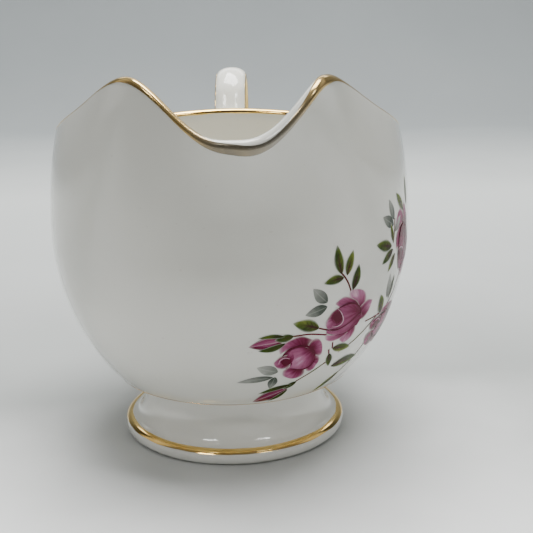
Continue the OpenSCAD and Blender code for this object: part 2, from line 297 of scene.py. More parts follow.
class Nodes:
    """A short way to write a material's node tree."""

    def __init__(self, name):
        self.material = bpy.data.materials.new(name)
        self.material.use_nodes = True
        self.tree = self.material.node_tree
        self.shader = self.tree.nodes["Principled BSDF"]

    def add(self, kind, **settings):
        node = self.tree.nodes.new("ShaderNode" + kind)
        for key, value in settings.items():
            setattr(node, key, value)
        return node

    def link(self, source, target):
        self.tree.links.new(source, target)

    def feed(self, socket, value):
        if hasattr(value, "links"):
            self.link(value, socket)
        else:
            socket.default_value = value

    def set(self, **inputs):
        for key, value in inputs.items():
            self.feed(self.shader.inputs[key.replace("_", " ")], value)

    def math(self, operation, a, b=0.0, clamp=False):
        node = self.add("Math", operation=operation, use_clamp=clamp)
        self.feed(node.inputs[0], a)
        self.feed(node.inputs[1], b)
        return node.outputs[0]

    def uneven(self, value, size):
        """A value from 0 to 1 spread evenly around 0."""
        return self.math("MULTIPLY", self.math("SUBTRACT", value, 0.5), size)

    def place(self):
        return self.add("TexCoord").outputs["Object"]

    def value(self, name):
        return self.add("Attribute", attribute_name=name).outputs["Fac"]

    def noise(self, scale, detail, vector=None):
        node = self.add("TexNoise")
        self.link(vector or self.place(), node.inputs["Vector"])
        node.inputs["Scale"].default_value = scale
        node.inputs["Detail"].default_value = detail
        return node.outputs["Fac"]

    def ramp(self, value, *stops):
        node = self.add("ValToRGB")
        elements = node.color_ramp.elements
        while len(elements) < len(stops):
            elements.new(0.5)
        for element, (place, colour) in zip(elements, stops):
            element.position = place
            element.color = (*(colour if isinstance(colour, tuple) else (colour,) * 3), 1)
        self.feed(node.inputs[0], value)
        return node.outputs[0]

    def blend(self, share, a, b):
        node = self.add("Mix", data_type="RGBA")
        self.feed(node.inputs[0], share)
        for socket, colour in ((node.inputs[6], a), (node.inputs[7], b)):
            self.feed(socket, (*colour, 1) if isinstance(colour, tuple) else colour)
        return node.outputs[2]

    def bump(self, height, distance, strength):
        node = self.add("Bump")
        self.link(height, node.inputs["Height"])
        node.inputs["Distance"].default_value = distance
        node.inputs["Strength"].default_value = strength
        return node.outputs[0]


GLAZE = dict(Coat_Weight=1.0, Coat_Roughness=0.03, IOR=1.5, Specular_IOR_Level=0.2)
INNER_CLAY = (0.73, 0.715, 0.635)
SPECK = (0.42, 0.38, 0.32)
BARE_CLAY = (0.60, 0.55, 0.47)
BARE_HEIGHT = 0.00038
GOLD_DARK = (0.62, 0.38, 0.10)
GOLD_TONE = (0.88, 0.59, 0.19)
GOLD_LIGHT = (0.98, 0.74, 0.32)
# painted shade: a dark grey-brown painted on the gold where it shows a dark reflection
PAINTED_DARK_REFLECTION = (0.15, 0.14, 0.118)
# painted light: a paler grey painted on the gold where it shows a lighter reflection
PAINTED_PALE_REFLECTION = (0.30, 0.288, 0.25)


def porcelain(name, low, high):
    """Glazed white porcelain: a faint mottle under a clear glaze that isn't quite even."""
    n = Nodes(name)
    mottle = n.noise(45, 3)
    clay = n.ramp(mottle, (0.3, low), (0.7, high))
    specks = n.ramp(n.noise(900, 1), (0.0, 1.0), (0.21, 1.0), (0.235, 0.0))
    clay = n.blend(n.value("inside"), clay, INNER_CLAY)
    colour = n.blend(n.math("MULTIPLY", specks, 0.18), clay, SPECK)
    rough = n.ramp(n.noise(160, 2), (0.3, 0.1), (0.8, 0.17))
    waves = n.bump(n.noise(60, 1), 0.00006, 0.5)
    n.set(Base_Color=colour, Roughness=rough, Normal=waves, **GLAZE)
    n.set(Subsurface_Weight=0.08, Subsurface_Radius=(0.004, 0.0035, 0.003), Subsurface_Scale=0.4)
    n.set(Coat_Normal=waves)
    return n.material


def foot_porcelain():
    """The same porcelain, left bare and a little rough on the land that the jug stands on; its glazed
    clay is painted lighter than the body's, standing in for the light the table throws up on the foot.
    """
    n = Nodes("foot_porcelain")
    clay = n.ramp(n.noise(45, 3), (0.3, (0.82, 0.815, 0.755)), (0.7, (0.85, 0.845, 0.79)))
    height = n.add("SeparateXYZ")
    n.link(n.place(), height.inputs[0])
    ragged = n.math("ADD", height.outputs[2], n.math("MULTIPLY", n.noise(700, 2), 0.00025))
    bare = n.math("LESS_THAN", ragged, BARE_HEIGHT)
    colour = n.blend(bare, clay, BARE_CLAY)
    rough = n.math("ADD", n.math("MULTIPLY", bare, 0.5), 0.12)
    grain = n.bump(n.noise(4000, 2), 0.00002, 0.4)
    n.set(Base_Color=colour, Roughness=rough, Normal=grain, **GLAZE)
    return n.material


def gilding():
    """Burnished gold laid on with a brush; painted dark where it shows a dark reflection and painted a
    paler grey where it shows a lighter one.
    """
    n = Nodes("gilding")
    along = n.value("along")
    across = n.value("across")
    place = n.add("CombineXYZ")
    n.link(n.math("MULTIPLY", along, 0.05), place.inputs[0])
    n.link(across, place.inputs[1])
    streaks = n.noise(7, 3, vector=place.outputs[0])
    patches = n.noise(220, 2)
    tone = n.math("ADD", n.math("MULTIPLY", streaks, 0.6), n.math("MULTIPLY", patches, 0.4))
    colour = n.ramp(tone, (0.3, GOLD_DARK), (0.5, GOLD_TONE), (0.72, GOLD_LIGHT))
    rough = n.ramp(tone, (0.3, 0.16), (0.7, 0.06))
    # painted shade: the gold turns to the painted dark reflection colour, and is rougher and less
    # metallic there
    painted_dark_share = n.math("MULTIPLY", n.value("painted_dark_share"), n.ramp(patches, (0.3, 1.0), (0.75, 0.88)))
    colour = n.blend(painted_dark_share, colour, PAINTED_DARK_REFLECTION)
    rough = n.math("ADD", rough, n.math("MULTIPLY", painted_dark_share, 0.16))
    # painted light: the paler grey, strongest at the band's lower outside edge, with less metal
    thin = n.math("MULTIPLY", n.value("thin"), n.ramp(across, (0.0, 1.0), (0.9, 0.3)))
    colour = n.blend(n.math("MULTIPLY", thin, 0.85), colour, PAINTED_PALE_REFLECTION)
    metal_cut = n.math("MAXIMUM", n.math("MULTIPLY", thin, 0.8), n.math("MULTIPLY", painted_dark_share, 0.4))
    metal = n.math("SUBTRACT", 1.0, metal_cut)
    n.set(Base_Color=colour, Metallic=metal, Roughness=rough, Normal=n.bump(streaks, 0.00003, 0.3))
    return n.material


# painted shade: the body's copy of the porcelain is painted darker than the foot's and the handle's,
# standing in for the shade on the body
SHADED_BODY_PORCELAIN = porcelain("porcelain", (0.665, 0.665, 0.61), (0.70, 0.70, 0.645))
# painted light: the handle's copy of the porcelain is painted much whiter, standing in for the light on
# the handle's front
LIT_HANDLE_PORCELAIN = porcelain("lit_handle_porcelain", (0.97, 0.965, 0.87), (0.985, 0.98, 0.89))
LIT_FOOT_PORCELAIN = foot_porcelain()
GOLD = gilding()

# ---------------------------------------------------------------- body, foot and handle

AROUND = 300                    # points around the axis


def azimuths():
    """Azimuths around the axis, the front first, with the left side below 0."""
    return [a if a <= 180 else a - 360 for a in (360 * i / AROUND for i in range(AROUND))]


def body():
    sections = [body_section(a) for a in azimuths()]
    rings = [[at(a, *s[k]) for a, s in zip(azimuths(), sections)] for k in range(len(sections[0]))]
    inner = len(rings) - WALL_STEPS - FLOOR_STEPS + 1
    inside = [float(k > inner) for k in range(len(rings)) for _ in azimuths()] + [0.0, 1.0]
    return skin("jug_body", rings, SHADED_BODY_PORCELAIN, "body", values={"inside": inside})


SHOULDER_C = (FLANGE_R - SHOULDER_R, SHOULDER_R)
COVE_INSET = 0.3                # flat left between the cove's end and the shoulder's round
COVE_END = SHOULDER_C[0] - COVE_INSET


def cove(t, z_end, off=0.0):
    """A point of the foot's hollow flank, t degrees down from the body's seat."""
    r = NECK_R + (COVE_END - NECK_R) * (1 - cos(t))
    return (r + off, SEAT_Z - (SEAT_Z - z_end) * sin(t))


def arc(c, r, start, end, steps):
    """Points of an arc around a centre, from one direction to another in degrees."""
    turns = [mix(start, end, k / steps) for k in range(steps + 1)]
    return [(c[0] + r * cos(t), c[1] + r * sin(t)) for t in turns]


def foot():
    outside = [cove(t, 2 * SHOULDER_R) for t in range(0, 91, 3)]
    shoulder = arc(SHOULDER_C, SHOULDER_R, 90, 0, 14)
    standing = arc((FLANGE_R - STAND_R, STAND_R), STAND_R, 0, -90, 10)
    inside = [cove(t, SHOULDER_R, -FOOT_WALL) for t in range(90, -1, -3)]
    section = outside + shoulder + standing + [(COVE_END - FOOT_WALL, 0)] + inside
    rings = [[at(a, r, z) for r, z in section[::-1]] for a in azimuths()]
    return skin("jug_foot", rings, LIT_FOOT_PORCELAIN, "foot", loop=True)


STRAP_ROUTE = [
    (round_r(66), 66), (47, 71.5), (50.5, 78.4), (56.5, 81.6), (62.5, 77.8),
    (65.5, 67), (63, 54), (56, 43.5), (48, 37.5), (round_r(34), 34),
]
STRAP_END = len(STRAP_ROUTE) - 1
STRAP_SIDES = 48
STRAP_STEPS = 20                # rings in each stretch of the route


def along_route(points, s):
    """A point of a smooth curve through points, at a whole number plus a fraction."""
    n = len(points) - 1
    i = min(int(s), n - 1)
    u = s - i
    b, c = Vector(points[i]), Vector(points[i + 1])
    a = Vector(points[i - 1]) if i > 0 else b * 2 - c
    d = Vector(points[i + 2]) if i < n - 1 else c * 2 - b
    bend = (2 * a - 5 * b + 4 * c - d) * u * u + (3 * b - a - 3 * c + d) * u ** 3
    return 0.5 * (2 * b + (c - a) * u + bend)


def strap_point(s, t, off=0.0):
    """A point of the strap's surface: t runs around its section, off lifts it."""
    c = along_route(STRAP_ROUTE, s)
    ahead = along_route(STRAP_ROUTE, min(STRAP_END, s + 0.05))
    d = (ahead - along_route(STRAP_ROUTE, max(0, s - 0.05))).normalized()
    reach = min((c - Vector(STRAP_ROUTE[0])).length, (c - Vector(STRAP_ROUTE[-1])).length)
    flare = ROOT_FLARE * max(0.0, 1 - reach / ROOT_REACH) ** 2
    w = ((STRAP_W + flare) / 2 + off) * cos(t)
    h = ((STRAP_T + flare * FLARE_SHARE) / 2 + off) * sin(t)
    y = c[0] - d[1] * h
    return Vector((w + (y - YAW_Y) * math.tan(math.radians(STRAP_YAW)), y, c[1] + d[0] * h))


def seated(p):
    """The same point moved along Y onto the body, for the strap's two ends."""
    return Vector((p[0], math.sqrt(round_r(p[2]) ** 2 - p[0] ** 2), p[2]))


def handle():
    rings = []
    for k in range(STRAP_END * STRAP_STEPS + 1):
        s = k / STRAP_STEPS
        ring = [strap_point(s, -360 * i / STRAP_SIDES) for i in range(STRAP_SIDES)]
        rings.append([seated(p) for p in ring] if s in (0, STRAP_END) else ring)
    return skin("jug_handle", rings, LIT_HANDLE_PORCELAIN, "handle")


# ---------------------------------------------------------------- gilding

FILM = 0.05
FILM_GAP = 0.01
FILM_STEPS = 16
BRUSH_LENGTH = 60.0             # how many strokes' lengths a band has
LIP_GOLD = 0.9                  # how much further down the film reaches at the pouring lip
LIP_GOLD_A = 4.0
LIP_GOLD_WIDTH = 9.0
THIN_FROM = 24.0                # azimuths over which the film narrows to its thin line
THIN_TO = 36.0
INNER_TURN = 172.0              # turn where the film ends inside
WORN_TURN = 128.0               # turn that is worn away inside the pouring lip
PAINTED_DARK_A = 5.0                    # painted shade: the pouring lip's gold is painted dark where it shows a dark reflection
PAINTED_DARK_WIDTH = 16.0
EAR_PAINTED_DARK = 0.4                  # and the ears' gold a little, out to the side, painted dark the same way
PAINTED_DARK_FROM = 36.0
PAINTED_DARK_TO = 70.0
PAINTED_PALE_A = 14.0                   # painted light: where the lip's gold outside is painted a paler grey for a lighter reflection
PAINTED_PALE_WIDTH = 6.0


def band_values(rings):
    """How far along and across a band each point lies, for the brush strokes in its material."""
    sides = len(rings[0])
    half = sides // 2
    along, across = [], []
    for j, ring in enumerate(rings):
        for i in range(sides):
            place = i if i < half else sides - 1 - i
            along.append(j / len(rings) * BRUSH_LENGTH)
            across.append(place / (half - 1))
    return {"along": along, "across": across}


def ragged(a, seed, size):
    """The small unevenness of an edge that was laid on by hand."""
    return size * noise.noise(Vector((cos(a) * 6, sin(a) * 6, seed)))


def over_lip(a, t, off):
    """A point over the lip, where a turn below 0 is down the outside of the wall."""
    if t >= 0:
        return lip_points(a, [t], off)[0]
    z = lip_top(a) + lip_r(a) * math.radians(t)
    return (outer_r(a, z) + off, z)


def plateau(x, width):
    """A flat hill of height 1 around 0, with steep sides."""
    return math.exp(-((x / width) ** 4))


def rim_gilding():
    """Film over the lip: wide on the pouring lip, worn away inside it, a thin line elsewhere."""
    rings = []
    for a in azimuths():
        low = RIM_GOLD + LIP_GOLD * hump(a - LIP_GOLD_A, LIP_GOLD_WIDTH) + ragged(a, 3.1, 0.15)
        start = THIN_TURN * smooth(THIN_FROM, THIN_TO, abs(a)) - math.degrees(low / lip_r(a))
        end = INNER_TURN - WORN_TURN * plateau(a - WORN_A, WORN_WIDTH) + ragged(a, 8.4, 12)
        turns = [mix(start, end, k / FILM_STEPS) for k in range(FILM_STEPS + 1)]
        ring = [over_lip(a, t, FILM_GAP + FILM) for t in turns]
        ring += [over_lip(a, t, FILM_GAP) for t in turns[::-1]]
        rings.append([at(a, r, z) for r, z in ring])
    values = band_values(rings)
    # painted shade: how much dark reflection is painted, most at the pouring lip and a little on the
    # ears
    painted_dark_share = [max(plateau(a - PAINTED_DARK_A, PAINTED_DARK_WIDTH), EAR_PAINTED_DARK * (1 - smooth(PAINTED_DARK_FROM, PAINTED_DARK_TO, abs(a))))
            for a in azimuths()]
    values["painted_dark_share"] = [share for share in painted_dark_share for _ in rings[0]]
    # painted light: where the paler grey is painted, on the lip's outside right of the middle
    values["thin"] = [hump(a - PAINTED_PALE_A, PAINTED_PALE_WIDTH) for a in azimuths() for _ in rings[0]]
    return skin("gold_rim", rings, GOLD, "rim_gilding", loop=True, values=values)


def gold_ring(name, node, c, r, start, end, steps, seed, wobble):
    """A band over an arc of the section, with slightly uneven edges."""
    rings = []
    for a in azimuths():
        first = start + ragged(a, seed, wobble)
        last = end + ragged(a, seed + 5, wobble)
        top = arc(c, r + FILM_GAP + FILM, first, last, steps)
        low = arc(c, r + FILM_GAP, first, last, steps)
        rings.append([at(a, *p) for p in top + low[::-1]])
    return skin(name, rings, GOLD, node, loop=True, values=band_values(rings))


LINE_STEPS = 14
LINE_START = 0.6                # share of the route's end stretches without gold
LINE_WOBBLE = 0.12


def handle_line(name, node, middle):
    """A line of film along a side of the strap, around a turn of its section."""
    turn = math.degrees(math.asin(LINE_GOLD / STRAP_T))
    rings = []
    for k in range(int(LINE_START * LINE_STEPS), int((STRAP_END - LINE_START) * LINE_STEPS) + 1):
        s = k / LINE_STEPS
        width = turn * (1 + LINE_WOBBLE * noise.noise(Vector((s * 2.3, middle, 0))))
        turns = [middle + width * (1 - i / 2) for i in range(5)]
        rings.append([strap_point(s, t, FILM_GAP + FILM) for t in turns]
                     + [strap_point(s, t, FILM_GAP) for t in turns[::-1]])
    points = {"along": [0.0, 0.0], "across": [0.0, 0.0]}
    values = {key: numbers + points[key] for key, numbers in band_values(rings).items()}
    return skin(name, rings, GOLD, node, values=values)


body()
foot()
handle()
rim_gilding()
gold_ring("gold_foot", "foot_gilding", SHOULDER_C, SHOULDER_R, 90, 34,
          steps=12, seed=2.0, wobble=5.0)
gold_ring("gold_neck", "neck_gilding", EDGE_C, EDGE_ROUND, UNDER_SLOPE - 88, UNDER_SLOPE - 64,
          steps=6, seed=4.0, wobble=3.0)
handle_line("gold_handle_left", "handle_gilding_left", 180 + LINE_BACK)
handle_line("gold_handle_right", "handle_gilding_right", -LINE_BACK)

# ---------------------------------------------------------------- the printed spray's enamels

BARE = tint(228, 227, 221)
ENAMEL_GLAZE = dict(GLAZE, Coat_Weight=0.12, Specular_IOR_Level=0.05)


def rose_colour(n):
    """Pink laid on in strokes that run out from the root of each petal."""
    place = n.add("CombineXYZ")
    n.feed(place.inputs[0], n.math("MULTIPLY", n.value("ray"), 4.5))
    n.feed(place.inputs[1], n.math("MULTIPLY", n.value("reach"), 1.6))
    n.feed(place.inputs[2], n.math("MULTIPLY", n.value("tone"), 0.6))
    strokes = n.uneven(n.noise(1.0, 3, vector=place.outputs[0]), 0.75)
    wash = n.uneven(n.noise(500, 3), 0.25)
    tone = n.math("ADD", n.value("tone"), n.math("ADD", strokes, wash))
    return n.ramp(tone, (0.0, tint(84, 4, 36)), (0.22, tint(108, 22, 62)),
                  (0.5, tint(136, 62, 98)), (0.78, tint(166, 104, 136)), (1.0, tint(206, 166, 184)))


def leaf_colour(n):
    """Green with a maroon flush and veins that are strongest near the stalk."""
    along, across = n.value("along"), n.math("ABSOLUTE", n.value("across"))
    wash = n.uneven(n.noise(420, 3), 0.8)
    lit = n.math("ADD", n.value("tone"), n.math("ADD", wash, n.math("MULTIPLY", along, 0.12)))
    green = n.ramp(lit, (0.0, tint(16, 30, 0)), (0.35, tint(42, 62, 6)),
                   (0.65, tint(76, 94, 18)), (1.0, tint(130, 138, 52)))
    comb = n.math("SUBTRACT", n.math("MULTIPLY", along, 6.0), n.math("MULTIPLY", across, 1.6))
    tooth = n.math("ABSOLUTE", n.math("SUBTRACT", n.math("FRACT", comb), 0.5))
    side = n.math("MULTIPLY", n.ramp(tooth, (0.06, 1.0), (0.2, 0.0)),
                  n.ramp(across, (0.45, 1.0), (0.75, 0.0)))
    middle = n.ramp(across, (0.1, 1.0), (0.32, 0.0))
    flush = n.math("MULTIPLY", n.ramp(across, (0.0, 0.9), (0.85, 0.0)),
                   n.ramp(along, (0.08, 1.0), (0.6, 0.0)))
    veins = n.math("MULTIPLY", n.math("MAXIMUM", side, middle),
                   n.ramp(along, (0.35, 1.0), (0.85, 0.0)))
    dark = n.math("MAXIMUM", n.math("MULTIPLY", veins, 0.95), flush, clamp=True)
    return n.blend(n.math("MULTIPLY", dark, n.value("veined")), green, tint(52, 0, 14))


def grey_colour(n):
    """Grey shadow leaves: a thin wash with a paler middle vein."""
    across = n.math("ABSOLUTE", n.value("across"))
    wash = n.uneven(n.noise(600, 3), 0.7)
    lit = n.math("ADD", n.value("tone"), wash)
    grey = n.ramp(lit, (0.1, tint(50, 56, 50)), (0.5, tint(76, 83, 75)),
                  (0.9, tint(114, 120, 110)))
    vein = n.math("MULTIPLY", n.ramp(across, (0.04, 1.0), (0.14, 0.0)), 0.35)
    return n.blend(vein, grey, tint(152, 158, 148))


def stem_colour(n):
    """Maroon that turns olive and back along a stem."""
    wander = n.noise(130, 2)
    return n.ramp(wander, (0.35, tint(100, 14, 44)), (0.5, tint(88, 40, 34)),
                  (0.65, tint(76, 80, 30)))


def enamel(name, colour, other=None):
    """A printed enamel, thinner at its edges so that the porcelain shows."""
    n = Nodes(name)
    pigment = colour(n)
    if other:
        pigment = n.blend(n.value("green"), pigment, other(n))
    cover = n.math("ADD", n.value("cover"), n.math("MULTIPLY", n.noise(900, 2), 0.1), clamp=True)
    n.set(Base_Color=n.blend(cover, BARE, pigment), **ENAMEL_GLAZE)
    n.set(Roughness=n.ramp(n.noise(300, 2), (0.3, 0.14), (0.7, 0.24)))
    n.set(Coat_Normal=n.bump(n.noise(1200, 2), 0.000004, 0.5))
    return n.material


ROSE = enamel("rose_enamel", rose_colour)
BUD = enamel("bud_enamel", rose_colour, leaf_colour)
LEAF = enamel("leaf_enamel", leaf_colour)
SHADE = enamel("grey_enamel", grey_colour)
STEM = enamel("stem_enamel", stem_colour)

# ---------------------------------------------------------------- the printed spray's shapes

LOWEST = 0.012                  # height of the first enamel's underside over the glaze
LAYER = 0.013                   # height of each enamel over the one it overlaps
ENAMEL = 0.02
TIP = 0.04                      # half width left at a tip


def mm_per_degree(z):
    """Length of a degree of azimuth at a height."""
    return math.radians(round_r(z))


def moved(place, x, y):
    """A place shifted by millimetres to the right and up."""
    return (place[0] + x / mm_per_degree(place[1]), place[1] + y)


def on_glaze(place, lift):
    """The point at a place, lifted off the body."""
    return at(place[0], outer_r(*place) + lift, place[1])


def sampled(points, count):
    """Points spread evenly by parameter over a smooth curve through a list of places."""
    return [along_route(points, (len(points) - 1) * k / count) for k in range(count + 1)]


class Print:
    """Thin closed shells of enamel, gathered into one piece, with numbers for their material."""

    KEYS = ("tone", "cover", "along", "across", "ray", "reach", "green", "veined")
    BLADE_ROWS, BLADE_WIDE = 22, 9
    PETAL_ROWS, PETAL_WIDE = 20, 15
    RIBBON_STEPS = 8
    PETAL_LIGHT = 0.86              # share of a petal's high tone that shows

    def __init__(self, deepen=0.0):
        self.points, self.faces = [], []
        self.values = {key: [] for key in self.KEYS}
        self.layer = 0
        self.deepen = deepen

    def shell(self, rows, numbers):
        """Adds a shell over rows of places on the body; numbers(j, i) gives a point's values."""
        lift = LOWEST + LAYER * self.layer
        self.layer += 1
        rings, inked = [], []
        wide = len(rows[0])
        for j, row in enumerate(rows):
            ink = [numbers(j, i) for i in range(wide)]
            inked.append(ink + ink[::-1])
            rings.append([on_glaze(p, lift + ENAMEL) for p in row]
                         + [on_glaze(p, lift) for p in row[::-1]])
        first = len(self.points)
        self.points += [p for ring in rings for p in ring]
        self.points += [centre_of(rings[0]), centre_of(rings[-1])]
        self.faces += [tuple(first + i for i in face) for face in ring_faces(len(rings), 2 * wide)]
        ends = [inked[0][wide // 2], inked[-1][wide // 2]]
        for ink in [ink for ring in inked for ink in ring] + ends:
            for key in self.KEYS:
                self.values[key].append(ink.get(key, 1.0 if key == "cover" else 0.0))

    def blade(self, base, tip, width, bend=0.0, full=0.85, ink=None):
        """A pointed blade from base to tip; bend pushes its middle to the left."""
        rows, wide = self.BLADE_ROWS, self.BLADE_WIDE
        x = (tip[0] - base[0]) * mm_per_degree((base[1] + tip[1]) / 2)
        y = tip[1] - base[1]
        side = Vector((-y, x)).normalized()
        places = []
        for j in range(rows + 1):
            u = j / rows
            half = TIP + (width / 2 - TIP) * sin(180 * u ** full) ** 0.9
            middle = (mix(base[0], tip[0], u), mix(base[1], tip[1], u))
            offs = [bend * sin(180 * u) + half * (1 - 2 * i / (wide - 1)) for i in range(wide)]
            places.append([moved(middle, side.x * off, side.y * off) for off in offs])

        def numbers(j, i):
            u, v = j / rows, 1 - 2 * i / (wide - 1)
            edge = max(abs(v) ** 6, u ** 12)
            values = dict(along=u, across=v, cover=1 - 0.5 * edge, ray=v * 1.2, reach=u * 2)
            values.update(ink(u, v) if callable(ink) else ink or {})
            return values
        self.shell(places, numbers)

    def ribbon(self, route, half, ink=None, chart=None, tapered=True):
        """A narrow stroke along a route of places, or of points on a chart."""
        line = sampled(route, self.RIBBON_STEPS * (len(route) - 1))
        places = []
        for j, p in enumerate(line):
            ahead, behind = line[min(j + 1, len(line) - 1)], line[max(j - 1, 0)]
            way = (ahead - behind).normalized()
            u = j / (len(line) - 1)
            w = half * (0.25 + 0.75 * sin(180 * u) ** 0.6 if tapered else 1)
            side = Vector((-way.y, way.x)) * w
            if chart:
                places.append([chart(p + side), chart(p), chart(p - side)])
            else:
                places.append([moved(p, k * side.x, k * side.y) for k in (1, 0, -1)])
        self.shell(places, lambda j, i: ink or {})

    def petal(self, chart, left, right, root, light, low, high, rim=0.0, fade=0.5):
        """A petal between two edges, dark at its root and light at another point."""
        rows, wide = self.PETAL_ROWS, self.PETAL_WIDE
        a, b = sampled(left, rows), sampled(right, rows)
        grid = [[p.lerp(q, i / (wide - 1)) for i in range(wide)] for p, q in zip(a, b)]
        if sum((a[j + 1] - a[j]).cross(b[j] - a[j]) for j in range(rows)) > 0:
            grid = [row[::-1] for row in grid]
        root, light = Vector(root), Vector(light)
        aim = light - root

        def numbers(j, i):
            p = grid[j][i]
            share = (p - root).length / ((p - root).length + (p - light).length + 1e-6)
            edge = max(abs(1 - 2 * i / (wide - 1)), abs(1 - 2 * j / rows)) ** 6
            off = p - root
            turn = math.atan2(aim.cross(off), aim.dot(off)) if off.length else 0.0
            tone = mix(low, self.PETAL_LIGHT * high, smooth(0, 1, share)) + rim * edge
            # deepen darkens the whole petal; on the roses turned away at the right it is painted shade
            return dict(tone=tone - self.deepen, cover=1 - fade * edge,
                        ray=turn + self.layer, reach=off.length)
        self.shell([[chart(p) for p in row] for row in grid], numbers)

    def finish(self, name, node, slot, material):
        return make(name, self.points, self.faces, material, node, self.values)


def rose_chart(centre, across, up, lean_x, lean_y, turned=0):
    """Lays a drawing of unit size on the body around a centre."""
    def chart(p):
        x = p[0] * cos(turned) - p[1] * sin(turned)
        y = p[0] * sin(turned) + p[1] * cos(turned)
        return moved(centre, across * x + lean_x * y, up * y + lean_y * x)
    return chart


def open_rose(chart, deepen=0.0):
    """A rose seen from its side: a rolled cup with a dark heart, wrapped by outer petals."""
    p = Print(deepen)
    # a dark base under all the petals
    p.petal(chart, [(-.85, -.2), (-.5, .3), (.1, .55), (.5, .3)],
            [(-.85, -.55), (-.3, -.65), (.25, -.45), (.5, -.1)],
            root=(0, 0), light=(-.9, -.4), low=.3, high=.45, fade=0)
    # outer petals
    p.petal(chart, [(.42, .2), (.12, .5), (-.07, .77), (-.03, 1.02), (.22, 1.1)],
            [(.42, .2), (.6, .5), (.66, .82), (.54, 1.04), (.22, 1.1)],
            root=(.36, .3), light=(.2, .9), low=.12, high=1.1, rim=.1)
    p.petal(chart, [(.4, .2), (0, .36), (-.4, .36), (-.62, .5)],
            [(.42, .3), (.2, .66), (-.25, .8), (-.6, .56)],
            root=(.32, .4), light=(-.62, .7), low=.14, high=.8, rim=.08)
    p.petal(chart, [(.34, .34), (.58, .56), (.8, .67), (1.0, .64)],
            [(.32, -.1), (.58, -.12), (.84, .18), (1.0, .6)],
            root=(.38, .1), light=(.95, .5), low=.08, high=.95, rim=.1)
    p.petal(chart, [(-.12, -.42), (-.34, -.7), (-.42, -.96), (-.22, -1.1)],
            [(.26, -.24), (.26, -.64), (.08, -.93), (-.16, -1.1)],
            root=(.12, -.38), light=(-.12, -1.0), low=.2, high=.95, rim=.1)
    p.petal(chart, [(-.1, -.56), (-.4, -.66), (-.72, -.74), (-1.0, -.74)],
            [(-.08, -.66), (-.42, -.9), (-.76, -1.02), (-1.0, -.96)],
            root=(-.1, -.6), light=(-.95, -.9), low=.25, high=.85, rim=.1)
    # the cup: its back, its dark heart and its front
    p.petal(chart, [(-.45, .4), (-.76, .16), (-.93, -.12), (-1.0, -.34), (-.92, -.52)],
            [(-.42, .4), (-.3, .15), (-.3, -.12), (-.46, -.36), (-.88, -.52)],
            root=(-.5, .02), light=(-1.0, -.3), low=.1, high=.8, rim=.1, fade=0.3)
    p.petal(chart, [(-.6, .24), (-.79, .02), (-.76, -.18), (-.6, -.28)],
            [(-.56, .24), (-.4, .1), (-.38, -.1), (-.54, -.28)],
            root=(-.56, -.02), light=(-.9, -.3), low=-.05, high=.45, fade=0)
    p.petal(chart, [(-.62, .12), (-.68, .02), (-.7, -.1), (-.64, -.2)],
            [(-.58, .14), (-.52, .06), (-.5, -.08), (-.6, -.2)],
            root=(-.58, -.02), light=(-.7, -.24), low=-.2, high=.1, fade=0)
    p.petal(chart, [(-.5, .36), (-.36, .12), (-.32, -.12), (-.43, -.32), (-.62, -.44)],
            [(-.46, .4), (-.05, .56), (.36, .38), (.24, -.02), (-.5, -.5)],
            root=(.34, .2), light=(-.24, .14), low=.12, high=.66, fade=0)
    # the petal folded across the front
    p.petal(chart, [(-.98, -.54), (-.6, -.56), (-.22, -.36), (.16, -.08), (.46, .16)],
            [(-.98, -.68), (-.5, -.73), (-.05, -.56), (.3, -.32), (.54, .0)],
            root=(.5, .1), light=(-.5, -.62), low=.22, high=.66, rim=.08, fade=0.1)
    # dark creases, and the cup's light edge
    p.ribbon([(-.98, -.52), (-.6, -.53), (-.2, -.33), (.16, -.06), (.42, .18)],
             .026, dict(tone=.06), chart)
    p.ribbon([(-.5, .37), (-.1, .53), (.2, .5), (.4, .3), (.42, .05)],
             .03, dict(tone=.02), chart)
    p.ribbon([(-.62, -.76), (-.2, -.66), (.15, -.42), (.36, -.2)],
             .02, dict(tone=.12), chart)
    p.ribbon([(-.62, .38), (-.47, .25), (-.38, .08), (-.34, -.12), (-.42, -.29), (-.58, -.38),
              (-.78, -.4)], .018, dict(tone=1.05), chart)
    return p


